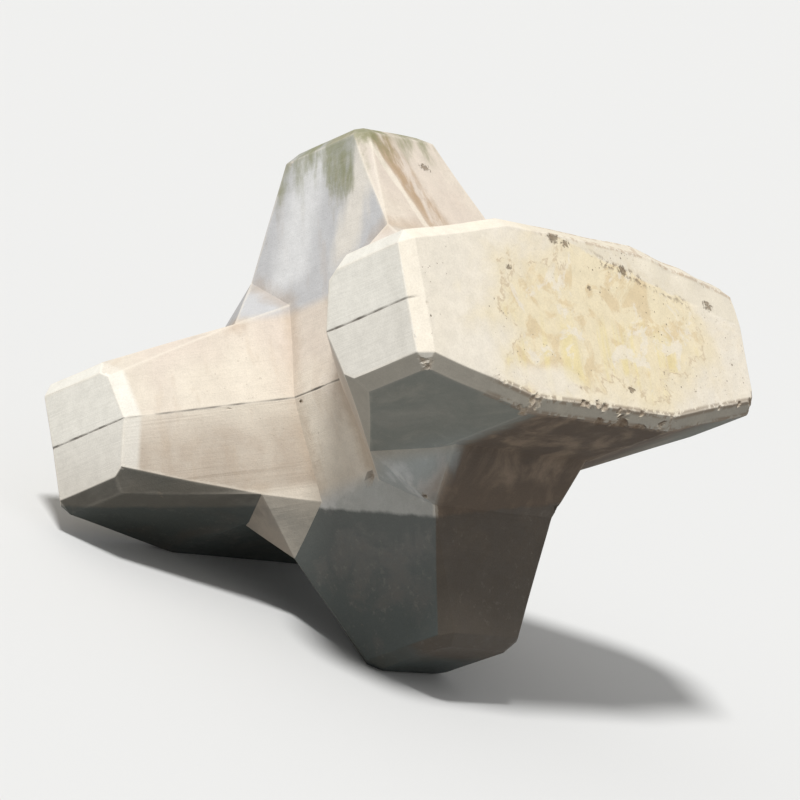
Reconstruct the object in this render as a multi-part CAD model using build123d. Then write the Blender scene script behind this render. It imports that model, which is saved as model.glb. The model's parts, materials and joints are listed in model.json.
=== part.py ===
from build123d import *
import os
from math import atan, cos, degrees, radians, tan

# Breakwater armour unit, cast in one piece of plain concrete. Sizes are in millimetres.
# It is drawn in the pose in which it is cast: X runs along the anvils, Y runs through both
# anvils, Z runs along the legs, and the two halves of the mould part at Z = 0.

height = 2270            # over both legs
span = 2140              # over the outer faces of both anvils
anvil_length = 2130

# Each anvil is boat-shaped seen from outside: level in the middle, falling to both ends.
anvil_middle_height = 820
anvil_end_height = 550
anvil_level_length = 880

# A V-shaped notch at each end parts the two anvils.
notch_mouth = 1165       # between the anvils' ends, at the parting
flank_angle = 39.6       # between a flank of the notch and the anvils' length
flank_draft = 12.5       # the flanks fall away from the parting

# The legs taper to their ends, and a 45 degree shoulder joins each leg to the anvils.
leg_end_length = 480     # along X
leg_end_width = 470      # along Y
leg_side_draft = 13.6    # of the faces towards the notches
leg_root_width = 800     # where the shoulder starts
leg_root_level = 607     # height of that place over the parting

# A web runs from each root corner of a leg down to the inner edge of an anvil.
web_reach = 607          # from the middle of the unit to the web's foot, along X
web_inner_level = 432    # where the web's inner facet leaves the leg, over the parting

# Edges that strips in the mould break.
face_chamfer = 50        # round the anvils' outer faces, and over and under their ends
leg_end_chamfer = 45
leg_corner_chamfer = 55  # at the leg's end, running out to nothing at its root

# Each inner corner of an anvil's end is cut off, running out to nothing at the web's foot.
end_cut_width = 95       # along Y, on the end's upper edge
end_cut_depth = 80       # down the end's inner edge


def leg_half_length(level):
    """Half the column's size along X at a height over the parting."""
    return leg_end_length / 2 + (height / 2 - level) * tan(radians(leg_side_draft))


def flank_y(x, level):
    """Distance of a notch's flank from the middle plane Y = 0."""
    slope = tan(radians(flank_angle))
    relief = level * tan(radians(flank_draft)) / cos(radians(flank_angle))
    return notch_mouth / 2 - (anvil_length / 2 - x) * slope + relief


def anvil_top(x):
    """Height of the anvils' upper side over the parting."""
    level_end = anvil_level_length / 2
    if x <= level_end:
        return anvil_middle_height / 2
    fall = (anvil_middle_height - anvil_end_height) / 2
    return anvil_middle_height / 2 - fall * (x - level_end) / (anvil_length / 2 - level_end)


# Corners where several faces of the unit meet, at +X +Y.
leg_root = (leg_half_length(leg_root_level), leg_root_width / 2, leg_root_level)
web_foot = (web_reach, flank_y(web_reach, anvil_top(web_reach)), anvil_top(web_reach))
shoulder_foot_level = anvil_middle_height / 2
shoulder_foot_y = leg_root_width / 2 + leg_root_level - shoulder_foot_level


def in_four_corners(piece):
    pair = [piece, mirror(piece, Plane.XZ)]
    return pair + [mirror(side, Plane.YZ) for side in pair]


def corner_cut(tip, corner, first, second):
    """Wedge that takes a corner off an end: nothing at the tip, first to second on the end."""
    tip, corner, first, second = (Vector(*point) for point in (tip, corner, first, second))
    wide = [first * 2 - second, second * 2 - first, corner * 2 - (first + second) / 2]
    past_end = 1.25
    return ConvexPolyhedron([tip] + [tip + (point - tip) * past_end for point in wide])


def anvil_bar():
    """Both anvils, upper half, before the notches are cut."""
    outline = Polygon(
        (-anvil_length / 2, 0),
        (anvil_length / 2, 0),
        (anvil_length / 2, anvil_end_height / 2),
        (anvil_level_length / 2, anvil_middle_height / 2),
        (-anvil_level_length / 2, anvil_middle_height / 2),
        (-anvil_length / 2, anvil_end_height / 2),
        align=None,
    )
    return extrude(Plane.XZ * outline, span / 2, both=True)


def notch():
    """The V between the anvils at the +X end, widening upwards by the flanks' draft."""
    sections = []
    for level in (0, height / 2):
        tip = anvil_length / 2 - flank_y(anvil_length / 2, level) / tan(radians(flank_angle))
        past_end = anvil_length
        wide = flank_y(past_end, level)
        section = Polygon((tip, 0), (past_end, -wide), (past_end, wide), align=None)
        sections.append(Pos(0, 0, level) * section)
    return loft(sections)


def end_cut():
    """The corner where an anvil's end, upper side and flank meet, at +X +Y."""
    end = anvil_length / 2
    level = anvil_end_height / 2
    return corner_cut(
        web_foot,
        (end, flank_y(end, level), level),
        (end, flank_y(end, level) + end_cut_width, level),
        (end, flank_y(end, level - end_cut_depth), level - end_cut_depth),
    )


def column():
    """One leg with its shoulders, down to the parting: two profiles crossed."""
    across = Polygon(
        (-shoulder_foot_y, 0),
        (shoulder_foot_y, 0),
        (shoulder_foot_y, shoulder_foot_level),
        (leg_root_width / 2, leg_root_level),
        (leg_end_width / 2, height / 2),
        (-leg_end_width / 2, height / 2),
        (-leg_root_width / 2, leg_root_level),
        (-shoulder_foot_y, shoulder_foot_level),
        align=None,
    )
    along = Polygon(
        (-leg_half_length(0), 0),
        (leg_half_length(0), 0),
        (leg_half_length(height / 2), height / 2),
        (-leg_half_length(height / 2), height / 2),
        align=None,
    )
    crossed = extrude(Plane.YZ * across, anvil_length / 2, both=True)
    crossed &= extrude(Plane.XZ * along, span / 2, both=True)
    x, y, end = leg_end_length / 2, leg_end_width / 2, height / 2
    edge = corner_cut(
        leg_root, (x, y, end), (x - leg_corner_chamfer, y, end), (x, y - leg_corner_chamfer, end)
    )
    for cut in in_four_corners(edge):
        crossed -= cut
    return crossed


def web():
    """The faceted web at the +X +Y corner of a leg, its back sunk in the anvil."""
    shoulder_foot = (leg_half_length(shoulder_foot_level), shoulder_foot_y, shoulder_foot_level)
    on_leg = []
    for level in (web_inner_level, shoulder_foot_level):
        x = leg_half_length(level)
        on_leg.append((x, flank_y(x, level), level))
    back = (leg_half_length(0) / 2, shoulder_foot_y * 0.75, shoulder_foot_level / 2)
    return ConvexPolyhedron([leg_root, shoulder_foot, web_foot, *on_leg, back])


def upper_half():
    end_notch = notch()
    half = anvil_bar() - end_notch - mirror(end_notch, Plane.YZ)
    for cut in in_four_corners(end_cut()):
        half -= cut
    half += column()
    for piece in in_four_corners(web()):
        half += piece
    return half


def armour_unit():
    top = upper_half()
    unit = top + mirror(top, Plane.XY)
    outer_faces = unit.faces().filter_by(Axis.Y).filter_by(lambda f: abs(f.center().Y) > span / 2 - 1)
    ends = unit.faces().filter_by(Axis.X).filter_by(lambda f: abs(f.center().X) > anvil_length / 2 - 1)
    unit = chamfer(outer_faces.edges() + ends.edges().filter_by(Axis.Y), face_chamfer)
    leg_ends = unit.faces().filter_by(Axis.Z).filter_by(lambda f: abs(f.center().Z) > height / 2 - 1)
    return chamfer(leg_ends.edges(), leg_end_chamfer)


def lean(unit):
    """Angle about X at which the unit rests on one leg's end and on one anvil's lower edge."""
    corners = unit.vertices()
    leg_corners = [corner for corner in corners if corner.Z < -leg_root_level]
    anvil_corners = [corner for corner in corners if corner.Y < -shoulder_foot_y]
    return degrees(atan(max(
        min((anvil.Z - leg.Z) / (leg.Y - anvil.Y) for anvil in anvil_corners) for leg in leg_corners
    )))


as_cast = armour_unit()
resting = Rot(X=-lean(as_cast)) * as_cast
box = resting.bounding_box()
resting = Pos(-box.center().X, -box.center().Y, -box.min.Z) * resting
resting.label = "armour_unit"

print("lean", round(lean(as_cast), 2), "volume m3", round(resting.volume / 1e9, 3))
print("size", box.size, "middle at", -box.center().Y, -box.min.Z)
os.makedirs("parts", exist_ok=True)
export_step(resting, "parts/armour_unit.step")
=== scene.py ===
import json
import math

import bmesh
import bpy
import numpy as np
from mathutils import Matrix, Quaternion, Vector


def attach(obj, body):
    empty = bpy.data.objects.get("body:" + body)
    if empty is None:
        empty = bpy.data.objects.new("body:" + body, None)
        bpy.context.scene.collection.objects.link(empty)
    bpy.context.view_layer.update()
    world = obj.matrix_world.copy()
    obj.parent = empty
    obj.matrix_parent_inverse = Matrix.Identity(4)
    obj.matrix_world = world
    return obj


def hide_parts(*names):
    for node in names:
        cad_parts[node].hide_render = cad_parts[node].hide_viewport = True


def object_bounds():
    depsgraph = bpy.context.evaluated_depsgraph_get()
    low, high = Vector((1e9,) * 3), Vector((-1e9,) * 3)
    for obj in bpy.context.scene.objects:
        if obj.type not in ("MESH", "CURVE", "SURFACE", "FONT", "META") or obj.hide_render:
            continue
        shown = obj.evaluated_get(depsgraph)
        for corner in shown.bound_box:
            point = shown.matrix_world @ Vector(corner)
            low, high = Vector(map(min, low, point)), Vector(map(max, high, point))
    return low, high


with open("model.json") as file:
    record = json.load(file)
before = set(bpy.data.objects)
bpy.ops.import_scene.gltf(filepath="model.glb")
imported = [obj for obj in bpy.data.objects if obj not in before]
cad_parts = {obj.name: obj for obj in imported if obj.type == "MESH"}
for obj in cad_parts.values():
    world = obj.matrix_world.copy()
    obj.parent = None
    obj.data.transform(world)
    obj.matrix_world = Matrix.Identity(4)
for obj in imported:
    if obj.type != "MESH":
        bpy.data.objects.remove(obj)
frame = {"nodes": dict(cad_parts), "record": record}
cadLow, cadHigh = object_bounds()

# The unit as it is cast: x along the anvils, y from the upper anvil to the lower one,
# z along the legs, with the middle of the unit at the origin. Everything below is drawn so.
mounts = {mount["name"]: mount for mount in frame["record"]["mounts"]}
upperFace, lowerFace = mounts["upper_anvil_face"], mounts["lower_anvil_face"]
upperLeg, lowerLeg = mounts["upper_leg_end"], mounts["lower_leg_end"]
yWay = -Vector(upperFace["axis"])
zWay = Vector(upperLeg["axis"])
xWay = yWay.cross(zWay)
unitMiddle = (Vector(upperFace["pos_m"]) + Vector(lowerFace["pos_m"])) / 2
castPose = Matrix((xWay, yWay, zWay)).transposed().to_4x4()
castPose.translation = unitMiddle
span = (Vector(upperFace["pos_m"]) - Vector(lowerFace["pos_m"])).length
legSpan = (Vector(upperLeg["pos_m"]) - Vector(lowerLeg["pos_m"])).length
anvilLength = cadHigh.x - cadLow.x


# Fine surface: every size is in metres. Waves are given by strength, wavelength and seed,
# and a reach by where it starts and where it is full.

form = {
    "mergeGap": 0.0002,
    "flatAngle": 1.0,        # degrees, under which two faces are one
    "edgeAngle": 8.0,        # degrees, over which an edge counts as one
    "edgeRound": 0.009,      # of every outer edge, from the mould's own corners
    "edgeSegments": 2,
    "grid": 0.06,            # first cuts over the faces
    "onCut": 0.00001,        # corners nearer to a cut than this lie on it
    "sliver": 0.0005,        # corners nearer than this are joined after the first cuts
    "coarse": 0.05,          # longest side of a triangle on an open face
    "fine": 0.018,           # beside an edge or the seam
    "finest": 0.009,         # and where an edge is ragged
    "fineReach": 0.03,       # how far beside them
    "rounds": 5,
}

seam = {
    "halfWidth": 0.0045,
    "depth": 0.0045,
    "slope": 1.6,            # where the groove's sides end, in half widths
    "cuts": (-2.2, -1, 0, 1, 2.2),       # rows of corners along it, in half widths
    "lip": 0.0016,           # the two halves of the mould meet a little apart
    "lipReach": 0.05,
    "faceFade": 0.07,        # it is rubbed out this far from the outer faces
    "waves": (0.25, 0.09, 31),
}

wear = {
    "reach": 0.06,           # how far from an edge a chip can reach
    "start": 2.15,           # chips show where the wear field is over this
    "gain": 0.0085,
    "curve": 0.8,
    "deepest": 0.020,
    "chipWaves": [(0.65, 0.31, 11), (0.6, 0.11, 12), (0.5, 0.045, 13)],
    "rough": 0.0016,         # of the broken concrete
    "roughFull": 0.008,      # in chips deeper than this
    "roughWaves": [(1.0, 0.03, 14), (0.7, 0.017, 15)],
    "chippedFull": 0.006,    # chips deeper than this show as broken concrete
    "undulation": (0.0011, 0.45, 41),
    # more wear along the upper anvil's face, and most at one corner there
    "faceReach": (0.13, 0.06),
    "upperEdge": {"more": 1.75, "height": (0.2, 0.26), "along": (-0.25, 0.15)},
    "lowerEdge": {"more": 1.25, "height": (-0.18, -0.24), "along": (-0.75, -0.6)},
    "brokenCorner": {"more": 2.0, "centre": (-0.69, -0.33), "size": 0.055},
}

# The upper anvil's face has worn back in a low slope above a ragged line.
wornBand = {
    "lineX": [-0.55, -0.15, 0.20, 0.60, 1.00],
    "lineZ": [0.385, 0.355, 0.275, 0.180, 0.100],
    "slope": 0.17,
    "deepest": 0.020,
    "faceReach": (0.12, 0.03),
    "along": (-0.55, 0.1),
    "waves": (0.15, 0.2, 21),
}

# Outline of the ochre stain on the same face, as x and z.
stainOutline = [
    (-0.48, 0.21), (-0.62, -0.04), (-0.46, -0.09), (-0.57, -0.25), (-0.15, -0.31),
    (0.25, -0.22), (0.68, -0.08), (0.66, 0.20), (0.14, 0.31),
]

farAway = 9.0                # more than any distance on the unit


def waveField(points, wavelength, seed, waves=26):
    # a smooth random field of unit strength: waves of one length in many directions
    draw = np.random.default_rng(seed)
    ways = draw.normal(size=(waves, 3))
    ways /= np.linalg.norm(ways, axis=1)[:, None]
    phases = draw.uniform(0, 2 * math.pi, waves)
    return np.sin(points @ ways.T * (2 * math.pi / wavelength) + phases).sum(1) * math.sqrt(2 / waves)


def addWaves(points, *kinds):
    return sum(strength * waveField(points, wavelength, seed) for strength, wavelength, seed in kinds)


def smoothStep(low, high, value):
    share = np.clip((value - low) / (high - low), 0, 1)
    return share * share * (3 - 2 * share)


def nearUpperFace(y, start, full):
    # distances from the upper anvil's outer face, between which it rises from 0 to 1
    return smoothStep(start - span / 2, full - span / 2, y)


def castForm():
    # the cast shape with its flat faces whole again, from a merged copy of the CAD mesh
    shape = bmesh.new()
    shape.from_mesh(frame["nodes"]["armour_unit"].data)
    bmesh.ops.transform(shape, matrix=castPose.inverted(), verts=shape.verts)
    bmesh.ops.remove_doubles(shape, verts=shape.verts, dist=form["mergeGap"])
    bmesh.ops.dissolve_limit(
        shape, angle_limit=math.radians(form["flatAngle"]), verts=shape.verts, edges=shape.edges
    )
    return shape


def sharpEdges(shape, outward):
    # the edges that stand out, or the ones that turn in
    least = math.radians(form["edgeAngle"])
    return [
        edge for edge in shape.edges
        if len(edge.link_faces) == 2 and edge.is_convex == outward and edge.calc_face_angle() > least
    ]


def edgeRows(edges):
    # start, end and way into the concrete of each edge
    rows = []
    for edge in edges:
        inward = -(edge.link_faces[0].normal + edge.link_faces[1].normal).normalized()
        rows.append((*edge.verts[0].co, *edge.verts[1].co, *inward))
    return np.array(rows)


def edgeDistance(points, rows):
    # distance of each point to the nearest of the edges
    nearest = np.full(len(points), farAway)
    for row in rows:
        start, run = row[:3], row[3:6] - row[:3]
        along = np.clip((points - start) @ run / (run @ run), 0, 1)
        nearest = np.minimum(nearest, np.linalg.norm(points - start - along[:, None] * run, axis=1))
    return nearest


def edgeTrouble(points):
    # the long edges of the upper anvil's face are more ragged than the rest
    x, y, z = points.T
    onFace = nearUpperFace(y, *wear["faceReach"])
    trouble = np.zeros(len(points))
    for edge in (wear["upperEdge"], wear["lowerEdge"]):
        onEdge = onFace * smoothStep(*edge["height"], z) * smoothStep(*edge["along"], x)
        trouble += edge["more"] * onEdge
    broken = wear["brokenCorner"]
    spotX, spotZ = broken["centre"]
    spot = onFace * np.exp(-((x - spotX) ** 2 + (z - spotZ) ** 2) / broken["size"] ** 2)
    return trouble + broken["more"] * spot


def cutLoops(shape, wayOut, cuts):
    for cut in cuts:
        everything = shape.verts[:] + shape.edges[:] + shape.faces[:]
        bmesh.ops.bisect_plane(
            shape, geom=everything, plane_co=wayOut * cut, plane_no=wayOut, dist=form["onCut"]
        )


def splitLong(shape, shortest, longest):
    # halves every edge that is too long for its place, a few times over
    for _ in range(form["rounds"]):
        asked = [edge for edge in shape.edges if edge.calc_length() > shortest]
        middles = np.array([(edge.verts[0].co + edge.verts[1].co) / 2 for edge in asked])
        lengths = np.array([edge.calc_length() for edge in asked])
        tooLong = [asked[i] for i in np.flatnonzero(lengths > longest(middles))]
        bmesh.ops.subdivide_edges(shape, edges=tooLong, cuts=1, use_single_edge=True)
        bmesh.ops.triangulate(shape, faces=[face for face in shape.faces if len(face.verts) > 3])
        print("split", len(tooLong), "edges")


def refine(shape, rows):
    # lays a grid over the faces, then makes it fine beside the edges and the seam
    half = {0: anvilLength / 2, 1: span / 2, 2: legSpan / 2}
    for axis, reach in half.items():
        wayOut = Vector([float(axis == i) for i in range(3)])
        count = math.ceil(reach / form["grid"])
        cutLoops(shape, wayOut, [reach * (i + 0.5) / count for i in range(-count, count)])
    upright = Vector((0, 0, 1))
    cutLoops(shape, upright, [seam["halfWidth"] * share for share in seam["cuts"]])
    bmesh.ops.remove_doubles(shape, verts=shape.verts, dist=form["sliver"])
    bmesh.ops.triangulate(shape, faces=shape.faces[:])

    def longest(middles):
        nearEdge = edgeDistance(middles, rows) < form["fineReach"]
        nearSeam = np.abs(middles[:, 2]) < form["fineReach"] / 2
        ragged = nearEdge & (edgeTrouble(middles) > 0.5)
        wanted = np.where(nearEdge | nearSeam, form["fine"], form["coarse"])
        return np.where(ragged, form["finest"], wanted)

    splitLong(shape, form["finest"], longest)


def chipEdges(points, rows):
    # knocks pieces off the outer edges, and returns how deep each point went
    field = addWaves(points, *wear["chipWaves"])
    rough = addWaves(points, *wear["roughWaves"])
    over = field - wear["start"] + edgeTrouble(points)
    bite = np.clip(np.maximum(over, 0) ** wear["curve"] * wear["gain"], 0, wear["deepest"])
    depthCut = np.zeros(len(points))
    for row in rows:
        start, run, inward = row[:3], row[3:6] - row[:3], row[6:]
        along = (points - start) @ run / (run @ run)
        foot = start + np.clip(along, 0, 1)[:, None] * run
        near = (np.linalg.norm(points - foot, axis=1) < wear["reach"]) & (bite > 0)
        depth = (points[near] - foot[near]) @ inward
        roughness = wear["rough"] * rough[near] * np.clip(bite[near] / wear["roughFull"], 0, 1)
        push = np.maximum(bite[near] + roughness - depth, 0)
        points[near] += push[:, None] * inward
        depthCut[near] = np.maximum(depthCut[near], push)
    return depthCut


def wearBand(points):
    # returns the height over the ragged line, far below it where the face isn't worn
    x, y, z = points.T
    onFace = nearUpperFace(y, *wornBand["faceReach"])
    over = z - np.interp(x, wornBand["lineX"], wornBand["lineZ"])
    drop = np.clip(np.clip(over, 0, 1) * wornBand["slope"], 0, wornBand["deepest"])
    drop *= smoothStep(*wornBand["along"], x) * (1 + addWaves(points, wornBand["waves"]))
    points[:, 1] += drop * onFace
    return np.where(onFace > 0.5, over, -1.0)


def stainReach(points):
    # how far inside the ochre stain's outline a point of the face lies, below zero outside
    flat = points[:, [0, 2]]
    corners = np.array(stainOutline)
    gap = np.full(len(flat), farAway)
    inside = np.zeros(len(flat), bool)
    for first, second in zip(corners, np.roll(corners, -1, axis=0)):
        run = second - first
        along = np.clip((flat - first) @ run / (run @ run), 0, 1)
        gap = np.minimum(gap, np.linalg.norm(flat - first - along[:, None] * run, axis=1))
        crosses = (first[1] > flat[:, 1]) != (second[1] > flat[:, 1])
        level = np.where(crosses, flat[:, 1], first[1])
        inside ^= crosses & (flat[:, 0] < first[0] + run[0] * (level - first[1]) / run[1])
    return np.where(inside, gap, -gap)


def cutSeam(points):
    # the groove where the mould parts, and the small step between its halves
    x, y, z = points.T
    fade = smoothStep(0, seam["faceFade"], span / 2 - np.abs(y))
    away = np.abs(z)
    groove = smoothStep(seam["halfWidth"] * seam["slope"], 0, away) * fade
    groove *= 1 - seam["waves"][0] + addWaves(points, seam["waves"])
    out = points.copy()
    out[:, 2] = 0
    outward = out / np.maximum(np.linalg.norm(out, axis=1), 0.01)[:, None]
    points -= outward * (groove * seam["depth"])[:, None]
    below = np.where(z < 0, 1.0, 0.0) * smoothStep(seam["lipReach"], 0.0, away) * fade
    points -= outward * (below * seam["lip"])[:, None]
    return np.clip(groove, 0, 1)


def weatheredMesh(shape, rows, innerRows):
    mesh = bpy.data.meshes.new("weathered_concrete")
    shape.to_mesh(mesh)
    points = np.empty(len(mesh.vertices) * 3)
    mesh.vertices.foreach_get("co", points)
    points = points.reshape(-1, 3)
    marks = {
        "edgeGap": edgeDistance(points, rows),
        "innerGap": edgeDistance(points, innerRows),
        "stainReach": stainReach(points),
    }
    marks["bandHeight"] = wearBand(points)
    marks["seamDark"] = cutSeam(points)
    strength, wavelength, seed = wear["undulation"]
    for axis in range(3):
        points[:, axis] += strength * waveField(points, wavelength, seed + axis)
    marks["chipped"] = np.clip(chipEdges(points, rows) / wear["chippedFull"], 0, 1)
    points = points @ np.array(castPose.to_3x3()).T + np.array(unitMiddle)
    points = np.clip(points, cadLow, cadHigh)
    mesh.vertices.foreach_set("co", points.ravel())
    for name, values in marks.items():
        mesh.attributes.new(name, "FLOAT", "POINT").data.foreach_set("value", values.astype(np.float32))
    mesh.update()
    return mesh


def makeUnit():
    shape = castForm()
    outer = sharpEdges(shape, True)
    rows, innerRows = edgeRows(outer), edgeRows(sharpEdges(shape, False))
    bmesh.ops.bevel(
        shape, geom=outer, offset=form["edgeRound"], offset_type="OFFSET", segments=form["edgeSegments"],
        profile=0.5, affect="EDGES", clamp_overlap=True, material=-1,
    )
    print("form: edges", len(outer), "faces", len(shape.faces))
    refine(shape, rows)
    print("refined: triangles", len(shape.faces))
    mesh = weatheredMesh(shape, rows, innerRows)
    shape.free()
    unit = bpy.data.objects.new("weathered_unit", mesh)
    bpy.context.scene.collection.objects.link(unit)
    return unit


unit = makeUnit()
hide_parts("armour_unit")
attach(unit, "root")
print("unit done")


# Finish: shader maths is written as expressions on wires.

class Wire:
    def __init__(self, finish, socket):
        self.finish, self.socket = finish, socket

    def maths(self, operation, first, second=0.0):
        return self.finish.node("ShaderNodeMath", {"operation": operation}, {0: first, 1: second})

    def __add__(self, other):
        return self.maths("ADD", self, other)

    def __sub__(self, other):
        return self.maths("SUBTRACT", self, other)

    def __rsub__(self, other):
        return self.maths("SUBTRACT", other, self)

    def __mul__(self, other):
        return self.maths("MULTIPLY", self, other)

    __radd__, __rmul__ = __add__, __mul__

    def over(self, other):
        return self.maths("MAXIMUM", self, other)

    def size(self):
        return self.maths("ABSOLUTE", self)

    def sway(self, reach):
        # turns a pattern about 0.5 into a shift to both sides
        return (self - 0.5) * reach


class Finish:
    def __init__(self, tree):
        self.tree = tree

    def put(self, socket, value):
        if isinstance(value, Wire):
            self.tree.links.new(value.socket, socket)
        else:
            socket.default_value = value

    def node(self, kind, settings, sockets, output=0):
        made = self.tree.nodes.new(kind)
        for name, value in settings.items():
            setattr(made, name, value)
        for name, value in sockets.items():
            self.put(made.inputs[name], value)
        return Wire(self, made.outputs[output])

    def mix(self, share, first, second, blend="MIX"):
        # colours; 6, 7 and 2 are the colour sockets of the node
        first, second = ((*value, 1) if isinstance(value, tuple) else value for value in (first, second))
        settings = {"data_type": "RGBA", "blend_type": blend}
        return self.node("ShaderNodeMix", settings, {0: share, 6: first, 7: second}, 2)

    def step(self, value, low, high, bottom=0.0, top=1.0):
        sockets = {"Value": value, "From Min": low, "From Max": high, "To Min": bottom, "To Max": top}
        return self.node("ShaderNodeMapRange", {"interpolation_type": "SMOOTHSTEP"}, sockets)

    def line(self, value, edge, full):
        # 1 along the line where the value is zero, fading to both sides
        return self.step(value.size(), edge, full)

    def along(self, place, way):
        return self.node("ShaderNodeVectorMath", {"operation": "DOT_PRODUCT"}, {0: place, 1: way}, "Value")

    def spot(self, place, centre, reach, ragged):
        # 1 inside a soft-edged round or oval spot, 0 outside
        away = self.node("ShaderNodeVectorMath", {"operation": "SUBTRACT"}, {0: place, 1: centre})
        away = self.node("ShaderNodeVectorMath", {"operation": "DIVIDE"}, {0: away, 1: reach})
        length = self.node("ShaderNodeVectorMath", {"operation": "LENGTH"}, {0: away}, "Value")
        return self.step(length + ragged, 1.0, 0.45)

    def noise(self, place, scale, detail, rough, bend=0.0):
        sockets = {"Vector": place, "Scale": scale, "Detail": detail, "Roughness": rough, "Distortion": bend}
        return self.node("ShaderNodeTexNoise", {"noise_dimensions": "3D"}, sockets, "Fac")

    def pits(self, place, scale, share, widest):
        # round air holes of mixed size, one at most in each cell of the pattern
        sockets = {"Vector": place, "Scale": scale, "Randomness": 1.0}
        gap = self.node("ShaderNodeTexVoronoi", {"feature": "F1"}, sockets, "Distance")
        draw = self.node("ShaderNodeTexVoronoi", {"feature": "F1"}, sockets, "Color")
        chance = self.node("ShaderNodeSeparateColor", {}, {0: draw}, "Red")
        radius = self.step(chance, 1 - share * 2.5, 1.0, 0.0, widest)
        return self.step(radius - gap, 0.0, 0.06)

    def turned(self, place, turn, stretch):
        sockets = {"Vector": place, "Rotation": turn, "Scale": stretch}
        return self.node("ShaderNodeMapping", {"vector_type": "POINT"}, sockets)

    def attribute(self, name):
        return self.node("ShaderNodeAttribute", {"attribute_name": name}, {}, "Fac")


concrete = {
    "cream": (0.745, 0.67, 0.56),
    "pinkCream": (0.705, 0.615, 0.525),
    "lowFlank": (0.52, 0.44, 0.355),
    "formGrey": (0.88, 0.85, 0.765),
    "formGreyLow": (0.81, 0.775, 0.695),
    "coolGrey": (0.55, 0.555, 0.565),
    "paleGrey": (0.82, 0.815, 0.80),
    "faceWhite": (0.87, 0.80, 0.68),
    "facePale": (0.86, 0.765, 0.60),
    "wash": (0.86, 0.74, 0.49),
    "ochre": (0.72, 0.56, 0.335),
    "yellow": (0.85, 0.72, 0.37),
    "bandPale": (0.78, 0.71, 0.58),
    "underShadeGrey": (0.20, 0.21, 0.185),
    "shadeAndGrimeGrey": (0.40, 0.37, 0.31),
    "shadeBlueGrey": (0.42, 0.475, 0.485),
    "brown": (0.095, 0.066, 0.045),
    "brownLight": (0.24, 0.175, 0.12),
    "drip": (0.47, 0.34, 0.22),
    "algae": (0.24, 0.245, 0.125),
    "shadeAndWetDark": (0.038, 0.049, 0.045),
    "seamLine": (0.22, 0.195, 0.17),
    "pit": (0.24, 0.18, 0.12),
    "broken": (0.66, 0.57, 0.45),
}

# Noise patterns, as scale, detail, roughness and bend.
patterns = {
    "broad": (1.3, 3, 0.6),
    "cloudy": (4.5, 6, 0.62, 0.4),
    "mottle": (17.0, 6, 0.65),
    "sand": (150.0, 3, 0.7),
    "narrowRuns": (15.0, 4, 0.6),
    "wideRuns": (5.0, 3, 0.5),
    "boards": (3.0, 3, 0.6),
    "patchy": (3.4, 5, 0.6, 0.5),
    "blots": (5.2, 6, 0.62, 1.2),
    "bare": (8.0, 6, 0.65, 0.8),
    "flecks": (55.0, 3, 0.6),
    "crumbs": (27.0, 5, 0.68),
    "crumbPlaces": (5.0, 3, 0.5),
    "footCrumbs": (24.0, 5, 0.68),
    "crust": (33.0, 5, 0.7),
    "pitPlaces": (2.6, 3, 0.6),
    "holeRims": (70.0, 3, 0.6),
}

# Places of the marks, in metres along the cast unit's axes. A pair is where a mark starts
# and where it is full.
places = {
    "photoUp": (-0.15, -0.34, 0.93),     # the way up in the photo
    "tide": -0.42,                       # along it from the middle of the unit
    "splash": 0.30,                      # reach over the tide line
    "webLitDownTo": (-0.72, -0.62),            # the web is painted sunlit and pale down to here
    "chamfer": (0.065, 0.045),           # depth behind the outer faces and the ends
    "lowFlank": (0.0, -0.16),            # height
    "cornerShadeAndDirtWidth": 0.075,                 # width of the painted shade and drip dirt along the inner corners
    "whiteEnd": (-0.35, -0.7),           # along the anvil
    "stainWash": (-0.20, 0.08),          # into the stain's outline
    "stain": (-0.03, 0.04),
    "stainRuns": (0.08, -0.12),          # height
    "tideMark": (0.014, 0.002),          # width of the stain's rim
    "flecks": (-0.5, 0.2),
    "washedSpot": ((-0.36, -1.07, -0.28), (0.26, 0.2, 0.10)),    # centre and reach
    "wornFrom": (-0.5, -0.15),           # along the anvil
    "crumblingLine": (0.034, 0.004),     # its width
    "besideFace": (-0.97, -0.99),        # across, at the upper anvil's face
    "upperEdge": (0.020, 0.006),         # width of the dark edge over that face
    "upperEdgeFrom": (-0.35, -0.1),
    "foot": (0.024, 0.008),              # and of the one under it
    "footFrom": (-0.76, -0.6),
    "rubbedAndLitWidth": 0.014,                     # width of the worn edge with a painted highlight, along every outer edge
    "runLean": 0.3,                      # the leg's runs follow the photo's way up
    "leanMiddle": 0.9,
    "sideWash": 0.08,                    # across the leg's side
    "sideStreak": -0.26,
    "brownRun": -0.10,                   # across its front
    "paleRun": -0.19,
    "growth": (0.94, 1.15),              # height
    "greenTint": (0.86, 1.05),
    "growthSway": 0.07,                  # less of it on one side, more beside one corner
    "lowLeg": (-0.36, -0.46),
    "brownFrom": (-0.46, -0.32),         # along the anvil
    # dark holes, as centre and size
    "holes": [
        ((-0.15, -1.07, 0.345), 0.024), ((-0.08, -1.07, 0.33), 0.018), ((0.82, -1.06, 0.165), 0.024),
        ((0.19, -1.07, -0.27), 0.015), ((-0.47, -1.07, 0.18), 0.012), ((0.03, -1.07, 0.15), 0.011),
        ((0.27, -1.07, 0.255), 0.022), ((0.066, -0.292, 0.951), 0.022),
    ],
}

surface = {
    "runStretch": (1, 1, 0.07),          # of the patterns that run down
    "formLines": (0.5, 0.5, 26.0),
    "boardLines": (0.6, 0.6, 30.0),
    "largePits": (42.0, 0.07, 0.22),     # scale, share of the cells, and widest
    "smallPits": (85.0, 0.10, 0.26),
    "sandHeight": 0.0010,                # relief, in metres
    "mottleHeight": 0.0022,
    "boardHeight": 0.0014,
    "pitDepth": 0.004,
    "roughness": (0.84, 0.96),
    "wetGloss": 0.3,
    "specular": 0.35,
}


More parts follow.
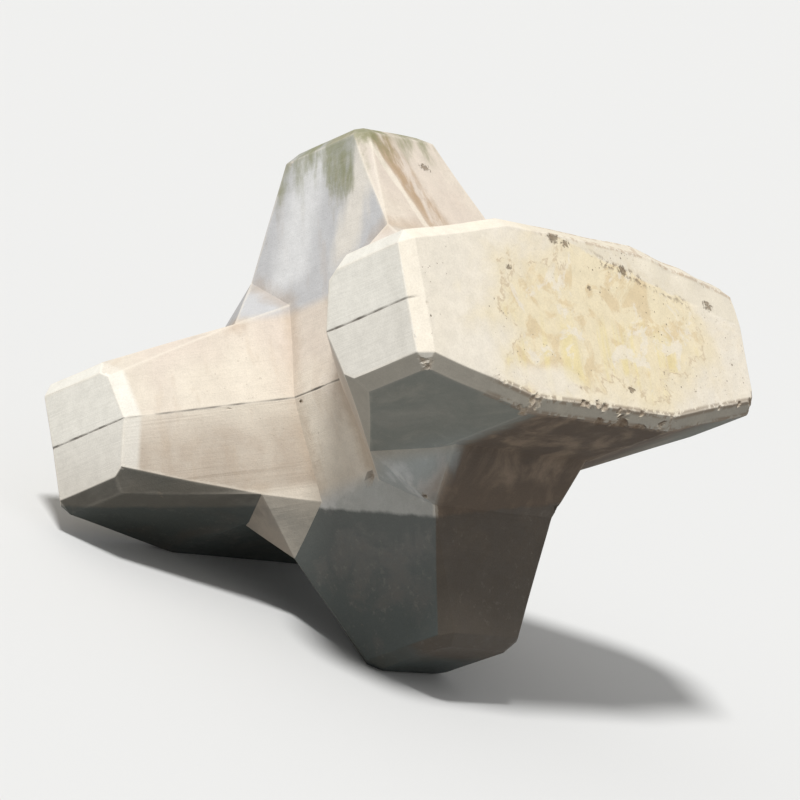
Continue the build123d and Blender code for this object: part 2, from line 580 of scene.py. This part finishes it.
class ConcreteFinish(Finish):
    def __init__(self, tree):
        super().__init__(tree)
        photoUp = Vector(places["photoUp"])
        coordinates = self.node("ShaderNodeTexCoord", {}, {}, "Object")
        facing = self.node("ShaderNodeTexCoord", {}, {}, "Normal")
        pose = {"Vector": coordinates, "Location": unitMiddle, "Rotation": castPose.to_euler()}
        self.place = self.node("ShaderNodeMapping", {"vector_type": "TEXTURE"}, pose)
        self.x, self.y, self.z = (self.along(self.place, way) for way in ((1, 0, 0), (0, 1, 0), (0, 0, 1)))
        self.facingX, self.facingY, self.facingZ = (self.along(facing, way) for way in (xWay, yWay, zWay))
        self.height = self.along(self.place, photoUp)
        self.facingUp = self.along(facing, castPose.to_3x3() @ photoUp)
        self.broad = self.pattern("broad")
        self.cloudy = self.pattern("cloudy")
        self.mottle = self.pattern("mottle")
        self.sand = self.pattern("sand")
        upTurn = photoUp.rotation_difference(Vector((0, 0, 1))).to_euler()
        runs = self.turned(self.place, upTurn, surface["runStretch"])
        self.narrowRuns = self.pattern("narrowRuns", runs)
        self.wideRuns = self.pattern("wideRuns", runs)
        self.edgeGap = self.attribute("edgeGap")
        self.findFaces()

    def pattern(self, name, place=None):
        return self.noise(place or self.place, *patterns[name])

    def findFaces(self):
        # masks for the kinds of face; outer faces and ends take in their chamfers
        step = self.step
        outward, endward = self.facingY.size(), self.facingX.size()
        self.outerFace = self.farFace(outward, self.y, span)
        self.upperFace = self.outerFace * step(self.y, 0.0, -0.1) * step(outward, 0.9, 0.96)
        self.endFace = self.farFace(endward, self.x, anvilLength)
        self.flank = step(outward, 0.5, 0.6) * step(self.z.size(), 0.5, 0.42) * (1 - self.outerFace)
        self.legSide = step(self.z, 0.36, 0.42) * step(endward, 0.15, 0.3)
        self.upperLeg = step(self.z, 0.46, 0.58)

    def farFace(self, facing, place, length):
        low, high = (length / 2 - depth for depth in places["chamfer"])
        return self.step(facing, 0.55, 0.65) * self.step(place.size(), low, high)

    def body(self):
        # cream, darker low on the flanks, and cool grey on one side of the raised leg
        step, mix = self.step, self.mix
        colour = mix(step(self.broad, 0.38, 0.62), concrete["pinkCream"], concrete["cream"])
        lowFlank = self.flank * step(self.z + self.cloudy.sway(0.08), *places["lowFlank"])
        colour = mix(lowFlank * step(self.mottle, 0.3, 0.65, 0.55, 0.95), colour, concrete["lowFlank"])
        formLines = self.pattern("boards", self.turned(self.place, (0, 0, 0), surface["formLines"]))
        lines = step(formLines, 0.60, 0.68) * self.flank * step(self.z, 0.1, -0.15, 0.25, 1.0)
        colour = mix(lines * 0.22, colour, concrete["brownLight"])
        warmCorner = step(self.facingX.size(), 0.9, 0.8) * step(self.y, 0.0, -0.1)
        cool = self.legSide * step(self.x, 0.1, -0.1, 0.55, 0.92) * (1 - warmCorner * 0.85)
        colour = mix(cool, colour, concrete["coolGrey"])
        washed = step(self.wideRuns, 0.40, 0.62) * step(self.cloudy, 0.3, 0.6) * (1 - cool)
        colour = mix(washed * 0.22, colour, concrete["faceWhite"])
        dirtyRuns = step(self.narrowRuns, 0.52, 0.68) * step(self.broad, 0.35, 0.6, 0.3, 1.0)
        colour = mix(dirtyRuns * 0.16, colour, concrete["drip"])
        upward = step(self.facingUp, 0.60, 0.92) * step(self.cloudy + self.mottle.sway(0.3), 0.44, 0.62)
        colour = mix(upward * 0.30, colour, concrete["shadeAndGrimeGrey"])
        # painted shade along the inner corners, in the brown of the drip stain that gathers there too
        corner = self.attribute("innerGap") + self.mottle.sway(0.09) + self.cloudy.sway(0.06)
        innerCornerShadeAndDirt = step(corner, places["cornerShadeAndDirtWidth"], 0.0) * step(self.wideRuns, 0.3, 0.6, 0.35, 1.0)
        colour = mix(innerCornerShadeAndDirt * 0.38, colour, concrete["drip"])
        # the ends are a little darker below the seam
        endTone = mix(step(self.z, 0.008, -0.008), concrete["formGrey"], concrete["formGreyLow"])
        endTone = mix(step(self.wideRuns, 0.45, 0.65) * 0.10, endTone, concrete["shadeAndGrimeGrey"])
        return mix(self.endFace, colour, endTone)

    def outerFaces(self, colour):
        # whitish towards one end, with an ochre stain and tide marks within it
        step, mix, pattern = self.step, self.mix, self.pattern
        face = mix(step(self.cloudy, 0.3, 0.65), concrete["facePale"], concrete["faceWhite"])
        whiteEnd = step(self.x + self.broad.sway(0.5), *places["whiteEnd"])
        face = mix(whiteEnd * 0.8, face, concrete["faceWhite"])
        patchy = pattern("patchy")
        reach = self.attribute("stainReach") + patchy.sway(0.6)
        face = mix(step(reach, *places["stainWash"]) * 0.75, face, concrete["wash"])
        inside = step(reach, *places["stain"])
        blots = step(pattern("blots"), 0.50, 0.60) * inside
        face = mix(blots * 0.62, face, concrete["ochre"])
        runs = step(self.narrowRuns, 0.47, 0.60) * step(self.z + patchy.sway(0.5), *places["stainRuns"])
        face = mix(runs * inside * 0.65, face, concrete["yellow"])
        bare = step(pattern("bare"), 0.56, 0.63) * inside
        face = mix(bare * 0.7, face, concrete["faceWhite"])
        rim = self.line(reach + 0.01, *places["tideMark"]) * step(self.mottle, 0.42, 0.56)
        face = mix(rim * 0.45, face, concrete["drip"])
        flecks = step(pattern("flecks"), 0.63, 0.70) * step(self.x, *places["flecks"])
        face = mix(flecks * 0.35, face, concrete["drip"])
        washed = self.spot(self.place, *places["washedSpot"], patchy.sway(1.2))
        face = mix(washed * 0.8, face, concrete["faceWhite"])
        return mix(self.outerFace, colour, face)

    def wornEdge(self, colour):
        # the pale band over the ragged line, and the dark crumbling spots along it
        step, mix = self.step, self.mix
        height = self.attribute("bandHeight") + self.mottle.sway(0.05) + self.cloudy.sway(0.02)
        worn = step(self.x, *places["wornFrom"])
        band = step(height, -0.006, 0.010) * worn
        colour = mix(band * step(self.mottle, 0.3, 0.6, 0.6, 0.95), colour, concrete["bandPale"])
        crumbs = self.pattern("crumbs")
        where = step(self.pattern("crumbPlaces"), 0.44, 0.54) * worn
        lip = self.line(height + 0.006, *places["crumblingLine"]) * step(crumbs, 0.49, 0.57) * where
        colour = mix(lip * 0.8, colour, concrete["brownLight"])
        edge = step(self.edgeGap, *places["upperEdge"]) * step(self.y, *places["besideFace"])
        edge = edge * step(crumbs, 0.44, 0.54) * step(self.z, 0.18, 0.24)
        return mix(edge * step(self.x, *places["upperEdgeFrom"]) * 0.75, colour, concrete["drip"])

    def legRuns(self, colour):
        # what ran down the raised leg, and the growth on its tip
        step, mix, line = self.step, self.mix, self.line
        lean = (self.z - places["leanMiddle"]) * places["runLean"]
        acrossSide, acrossFront = self.y + lean, self.x + lean
        onSide = self.upperLeg * step(self.facingX, -0.75, -0.9)
        washed = line(acrossSide - places["sideWash"] + self.wideRuns.sway(0.16), 0.16, 0.05)
        colour = mix(onSide * washed * 0.66, colour, concrete["paleGrey"])
        corner = line(acrossSide - places["sideStreak"] + self.narrowRuns.sway(0.14), 0.12, 0.03)
        colour = mix(onSide * corner * 0.6, colour, concrete["faceWhite"])
        onFront = self.upperLeg * step(self.facingY, -0.5, -0.8)
        zone = line(acrossFront - places["brownRun"], 0.11, 0.04) * step(self.narrowRuns, 0.34, 0.56)
        colour = mix(onFront * zone * step(self.z, 0.5, 0.8, 0.45, 0.95), colour, concrete["drip"])
        pale = line(acrossFront - places["paleRun"] + self.narrowRuns.sway(0.05), 0.028, 0.01)
        colour = mix(onFront * pale * 0.7, colour, concrete["faceWhite"])
        elsewhere = self.upperLeg * step(self.facingY, 0.3, 0.8) * step(self.narrowRuns, 0.55, 0.68)
        colour = mix(elsewhere * step(self.z, 0.6, 1.0) * 0.5, colour, concrete["drip"])
        tip = self.z + self.cloudy.sway(0.35) + self.narrowRuns.sway(0.6)
        besideCorner = line(self.y + 0.14, 0.14, 0.02) * step(self.x, -0.1, -0.2)
        tip = tip - step(self.x, -0.15, 0.1) * places["growthSway"] + besideCorner * places["growthSway"]
        self.growth = step(tip, *places["growth"])
        colour = mix(self.growth * step(self.cloudy, 0.3, 0.6, 0.45, 0.82), colour, concrete["algae"])
        colour = mix(self.growth * step(self.mottle, 0.50, 0.62) * 0.4, colour, concrete["shadeAndGrimeGrey"])
        return mix(step(tip, *places["greenTint"]) * self.upperLeg * 0.26, colour, concrete["algae"])

    def lowParts(self, colour):
        # painted shade on the undersides, deepest low on the lower anvil; brown stain with painted shade
        # under the upper anvil; wet and darker below the tide, partly painted shade
        step, mix, tide = self.step, self.mix, places["tide"]
        # painted shade: faces turned down are darkened to grey-green
        shadedUnderside = step(self.facingZ, -0.35, -0.65)
        underShadeTone = mix(step(self.facingZ, -0.78, -0.9), concrete["shadeAndGrimeGrey"], concrete["underShadeGrey"])
        underShadeTone = mix(step(self.cloudy, 0.5, 0.72) * 0.35, underShadeTone, concrete["shadeAndGrimeGrey"])
        # painted shadow, darkest, low under the lower anvil
        farUnderShadow = step(self.y, 0.0, 0.25) * step(self.height, 0.1, -0.2)
        underShadeTone = mix(farUnderShadow * 0.85, underShadeTone, concrete["shadeAndWetDark"])
        colour = mix(shadedUnderside * step(self.cloudy, 0.2, 0.6, 0.84, 0.97), colour, underShadeTone)
        web = self.sunlitWeb()
        # painted shade in cool blue grey on the lower leg under the upper anvil; the pale splotches on it
        # are its own
        lowLeg = step(self.z + self.cloudy.sway(0.05), *places["lowLeg"]) * step(self.height, 0.0, -0.2)
        lowLeg = lowLeg * (1 - web)
        colour = mix(lowLeg * 0.7, colour, concrete["shadeBlueGrey"])
        colour = mix(lowLeg * step(self.cloudy, 0.52, 0.64) * 0.45, colour, concrete["paleGrey"])
        # brown stain, darkened further as painted shade where the upper anvil shadows it
        brownStainAndShade = self.brownPart()
        brownTone = mix(step(self.cloudy, 0.42, 0.66), concrete["brown"], concrete["brownLight"])
        colour = mix(brownStainAndShade * 0.93, colour, brownTone)
        splash = step(self.height + self.wideRuns.sway(0.2), tide + places["splash"], tide)
        colour = mix(splash * (1 - web) * 0.22, colour, concrete["brownLight"])
        # painted sunlight on the web, in cream and the darker flank tone
        sunlitWebTone = mix(step(self.facingY, 0.1, -0.1), concrete["lowFlank"], concrete["cream"])
        colour = mix(web * 0.75, colour, sunlitWebTone)
        # below the tide the concrete is wet, and painted much darker, partly as painted shade
        tideEdge = self.height + self.cloudy.sway(0.025) + self.mottle.sway(0.02)
        self.wet = step(tideEdge, tide + 0.008, tide - 0.012)
        # the painted sunlight on the web holds off the dark below the tide, down to a set height
        self.wet = self.wet * (1 - web * step(self.height, *places["webLitDownTo"]))
        brownBelowTide = (step(self.cloudy, 0.5, 0.75) * 0.4).over(brownStainAndShade * 0.6)
        wetShadeTone = mix(brownBelowTide, concrete["shadeAndWetDark"], concrete["brown"])
        deep = step(self.height, tide, tide - 0.5, 0.80, 0.92)
        colour = mix(self.wet * deep, colour, wetShadeTone)
        crust = step(self.pattern("crust"), 0.56, 0.66) * step(self.cloudy, 0.42, 0.6)
        return mix(crust * self.wet * 0.13, colour, concrete["shadeAndGrimeGrey"])

    def sunlitWeb(self):
        # painted sunlight: the web between the lower leg and the lower anvil is painted pale and kept light
        step = self.step
        aslant = step(self.facingX, -0.42, -0.50) * step(self.facingX.size(), 0.85, 0.78)
        web = aslant * step(self.y, 0.02, 0.08) * step(self.z, -0.33, -0.38)
        return web * step(self.cloudy, 0.25, 0.60, 0.70, 1.0)

    def brownPart(self):
        # brown stain with painted shade, under the upper anvil and down the side of the lower leg that faces
        # the same way
        step, ragged = self.step, self.cloudy.sway(0.25)
        front = step(self.y + ragged, 0.05, -0.10) * step(self.z, -0.30, -0.40) * (1 - self.outerFace)
        notSide = step(self.facingX, -0.9, -0.6) * step(self.x + ragged, *places["brownFrom"])
        return front * notSide * step(self.facingY * -1 + self.facingZ * -1, 0.2, 0.6)

    def smallWear(self, colour):
        # the face's dark foot, rubbed edges with a painted highlight, chips, the seam, air holes and grain
        step, mix = self.step, self.mix
        foot = step(self.edgeGap, *places["foot"]) * step(self.y, *places["besideFace"])
        foot = foot * step(self.z, -0.18, -0.24) * step(self.pattern("footCrumbs"), 0.42, 0.52)
        colour = mix(foot * step(self.x, *places["footFrom"]) * 0.72, colour, concrete["brownLight"])
        # pale along every outer edge: wear and a painted highlight, weaker on edges facing down
        edgeRubAndHighlight = step(self.edgeGap + self.mottle.sway(0.03), places["rubbedAndLitWidth"], 0.0) * (1 - self.wet)
        edgeRubAndHighlight = edgeRubAndHighlight * step(self.facingZ, -0.6, -0.2, 0.2, 1.0) * (1 - self.growth * 0.8)
        colour = mix(edgeRubAndHighlight * 0.4, colour, concrete["faceWhite"])
        brokenTone = mix(step(self.sand, 0.35, 0.6), concrete["drip"], concrete["broken"])
        dirtyBreak = step(self.z, 0.1, -0.2) * step(self.mottle, 0.35, 0.6)
        brokenTone = mix(dirtyBreak, brokenTone, concrete["brownLight"])
        colour = mix(self.attribute("chipped") * 0.7 * (1 - self.wet * 0.7), colour, brokenTone)
        seamShare = self.attribute("seamDark") * step(self.mottle, 0.2, 0.5, 0.55, 0.95)
        colour = mix(seamShare, colour, concrete["seamLine"])
        where = step(self.pattern("pitPlaces"), 0.48, 0.62)
        where = where * (0.25 + self.upperFace * 0.75) * (1 - self.endFace * 0.8)
        largePits = self.pits(self.place, *surface["largePits"])
        self.airHoles = largePits.over(self.pits(self.place, *surface["smallPits"])) * where
        ragged = self.pattern("holeRims").sway(2.6)
        for centre, reach in places["holes"]:
            hole = self.spot(self.place, centre, (reach * 1.5, 0.1, reach), ragged)
            self.airHoles = self.airHoles.over(hole)
        colour = mix(self.airHoles * 0.8, colour, concrete["pit"])
        grain = step(self.sand, 0.3, 0.7, 0.95, 1.05) * step(self.mottle, 0.3, 0.7, 0.95, 1.04)
        grainTone = self.node("ShaderNodeCombineColor", {}, {0: grain, 1: grain, 2: grain})
        return mix(1.0, colour, grainTone, "MULTIPLY")

    def relief(self):
        boards = self.pattern("boards", self.turned(self.place, (0, 0, 0), surface["boardLines"]))
        boards = boards * (1 - self.outerFace) * surface["boardHeight"]
        fine = self.sand * surface["sandHeight"] + self.mottle * surface["mottleHeight"]
        return fine * (1 - self.endFace * 0.6) + boards - self.airHoles * surface["pitDepth"]


def concreteFinish():
    material = bpy.data.materials.new("weathered_concrete")
    material.use_nodes = True
    shader = material.node_tree.nodes["Principled BSDF"]
    finish = ConcreteFinish(material.node_tree)
    colour = finish.wornEdge(finish.outerFaces(finish.body()))
    colour = finish.smallWear(finish.lowParts(finish.legRuns(colour)))
    finish.put(shader.inputs["Base Color"], colour)
    sockets = {"Strength": 1.0, "Distance": 1.0, "Height": finish.relief()}
    finish.put(shader.inputs["Normal"], finish.node("ShaderNodeBump", {}, sockets))
    dry = finish.step(finish.mottle, 0.3, 0.7, *surface["roughness"])
    finish.put(shader.inputs["Roughness"], dry - finish.wet * surface["wetGloss"])
    shader.inputs["Specular IOR Level"].default_value = surface["specular"]
    return material


unit.data.materials.append(concreteFinish())
print("finish done")


# Camera: the photo's line of sight on the unit, closer in.

cameraView = {
    "azimuth": -49.0,        # degrees
    "elevation": 12.4,
    "roll": 21.7,
    "distance": 18.0,
    "lens": 192.3,           # mm
}


def makeCamera():
    azimuth, elevation = math.radians(cameraView["azimuth"]), math.radians(cameraView["elevation"])
    back = Vector((
        math.sin(azimuth) * math.cos(elevation),
        -math.cos(azimuth) * math.cos(elevation),
        math.sin(elevation),
    ))
    camera = bpy.data.objects.new("camera", bpy.data.cameras.new("camera"))
    camera.rotation_mode = "QUATERNION"
    camera.location = unitMiddle + back * cameraView["distance"]
    level = (-back).to_track_quat("-Z", "Y")
    camera.rotation_quaternion = level @ Quaternion((0, 0, 1), math.radians(cameraView["roll"]))
    camera.data.lens = cameraView["lens"]
    bpy.context.scene.collection.objects.link(camera)
    bpy.context.scene.camera = camera
    return camera


camera = makeCamera()
print("camera done")


# Floor and light.

stage = {
    "floorHalf": 60.0,
    "floorSeen": (0.74, 0.74, 0.73),
    "floorLit": (0.42, 0.42, 0.42),      # what the floor throws back on the unit
    "floorRoughness": 0.9,
    "backdrop": (0.80, 0.80, 0.79),
    "skyStrength": 0.40,
    "keyStrength": 2.75,
    "keyAngle": 9.0,                     # degrees across: a soft sun
    "keyFrom": (0.06, 0.80, 0.595),      # right, up and back from the camera
}


def seenDirectly(finish):
    # 1 for what the camera, a reflection or a glass sees, 0 for light that falls on the unit
    seen = finish.node("ShaderNodeLightPath", {}, {}, "Is Camera Ray")
    for ray in ("Is Glossy Ray", "Is Transmission Ray"):
        seen = seen.over(finish.node("ShaderNodeLightPath", {}, {}, ray))
    return seen


def makeFloor():
    shape = bmesh.new()
    bmesh.ops.create_grid(shape, x_segments=1, y_segments=1, size=stage["floorHalf"])
    mesh = bpy.data.meshes.new("floor")
    shape.to_mesh(mesh)
    shape.free()
    floor = bpy.data.objects.new("floor", mesh)
    bpy.context.scene.collection.objects.link(floor)
    material = bpy.data.materials.new("floor")
    material.use_nodes = True
    finish = Finish(material.node_tree)
    shader = material.node_tree.nodes["Principled BSDF"]
    tone = finish.mix(seenDirectly(finish), stage["floorLit"], stage["floorSeen"])
    finish.put(shader.inputs["Base Color"], tone)
    shader.inputs["Roughness"].default_value = stage["floorRoughness"]
    mesh.materials.append(material)


def makeLight():
    turn = camera.rotation_quaternion.to_matrix()
    keyWay = turn @ Vector(stage["keyFrom"])
    key = bpy.data.objects.new("key", bpy.data.lights.new("key", "SUN"))
    key.data.energy = stage["keyStrength"]
    key.data.angle = math.radians(stage["keyAngle"])
    key.rotation_mode = "QUATERNION"
    key.rotation_quaternion = keyWay.to_track_quat("Z", "Y")
    bpy.context.scene.collection.objects.link(key)

    world = bpy.data.worlds.new("studio")
    world.use_nodes = True
    tree = world.node_tree
    finish = Finish(tree)
    lit = tree.nodes["Background"]
    lit.inputs["Color"].default_value = (1, 1, 1, 1)
    lit.inputs["Strength"].default_value = stage["skyStrength"]
    seen = finish.node("ShaderNodeBackground", {}, {"Color": (*stage["backdrop"], 1)})
    sockets = {0: seenDirectly(finish), 1: Wire(finish, lit.outputs[0]), 2: seen}
    either = finish.node("ShaderNodeMixShader", {}, sockets)
    finish.put(tree.nodes["World Output"].inputs["Surface"], either)
    bpy.context.scene.world = world


makeFloor()
makeLight()
bpy.context.scene.view_settings.view_transform = "Standard"
print("floor and light done")
